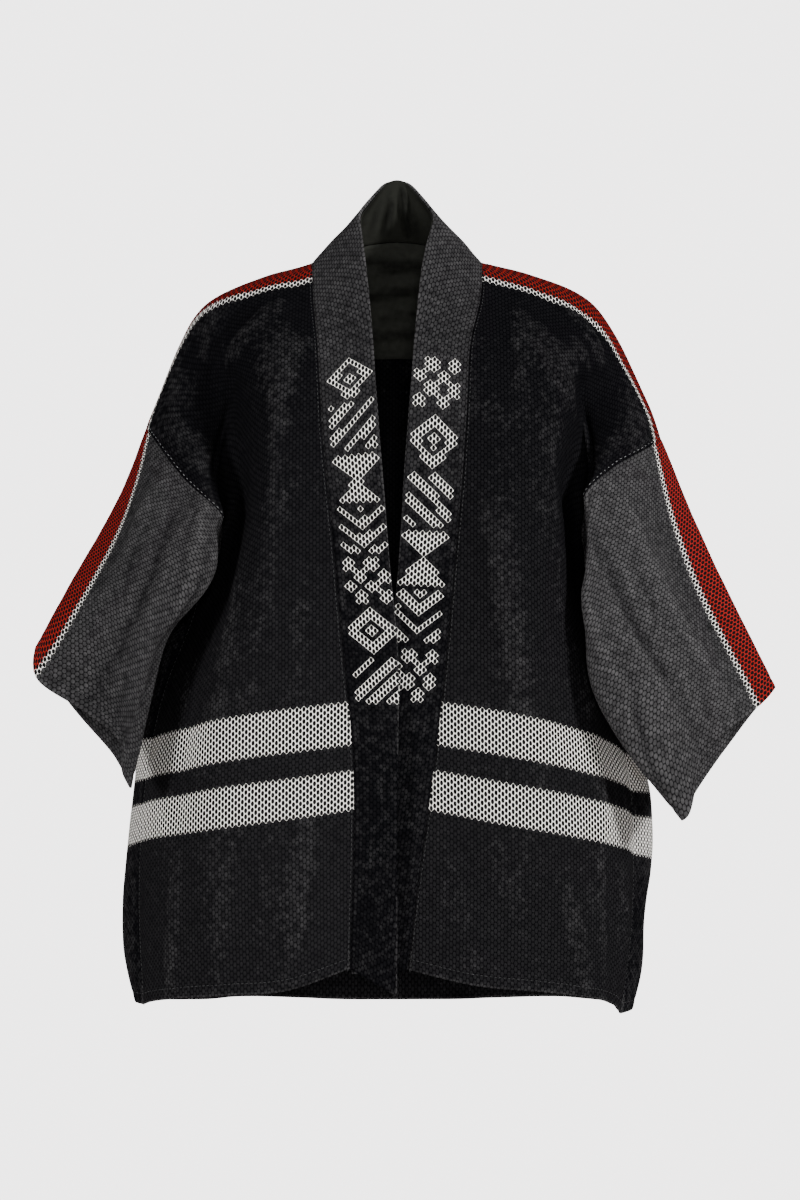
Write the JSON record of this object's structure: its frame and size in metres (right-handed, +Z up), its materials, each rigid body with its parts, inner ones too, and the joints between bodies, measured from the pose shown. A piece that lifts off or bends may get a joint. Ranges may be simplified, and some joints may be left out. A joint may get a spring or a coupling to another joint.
{
  "type": "fireman jacket",
  "caption": "Short T-shaped work jacket of thick cotton cloth with hanging half sleeves and a straight collar band, open down the front, filled out with no wearer.",
  "frame": {"origin": "middle of the neck, level with the two points where the collar meets the shoulder folds", "axes": "+Z up, -Y towards the viewer of the front, +X towards the wearer's left, which is the viewer's right"},
  "size_m": [0.7646, 0.2344, 0.8883],
  "materials": {
    "body_left_cloth": "thick rice-grain cotton, charcoal with white stripes and a red shoulder band",
    "body_right_cloth": "thick rice-grain cotton, charcoal with white stripes and a red shoulder band",
    "sleeve_left_cloth": "thick rice-grain cotton, faded charcoal with a red band",
    "sleeve_right_cloth": "thick rice-grain cotton, faded charcoal with a red band",
    "side_gusset_left_cloth": "thick rice-grain cotton, charcoal with white stripes",
    "side_gusset_right_cloth": "thick rice-grain cotton, charcoal with white stripes",
    "collar_cloth": "doubled cotton, charcoal, with a white woven pattern",
    "collar_lining_cloth": "plain thin cotton, olive black",
    "back_neck_lining_cloth": "plain thin cotton, olive black"
  },
  "bodies": {
    "root": {"body_left": "body_left_cloth", "body_right": "body_right_cloth", "sleeve_left": "sleeve_left_cloth", "sleeve_right": "sleeve_right_cloth", "side_gusset_left": "side_gusset_left_cloth", "side_gusset_right": "side_gusset_right_cloth", "collar": "collar_cloth", "collar_lining": "collar_lining_cloth", "back_neck_lining": "back_neck_lining_cloth"}
  },
  "joints": []
}
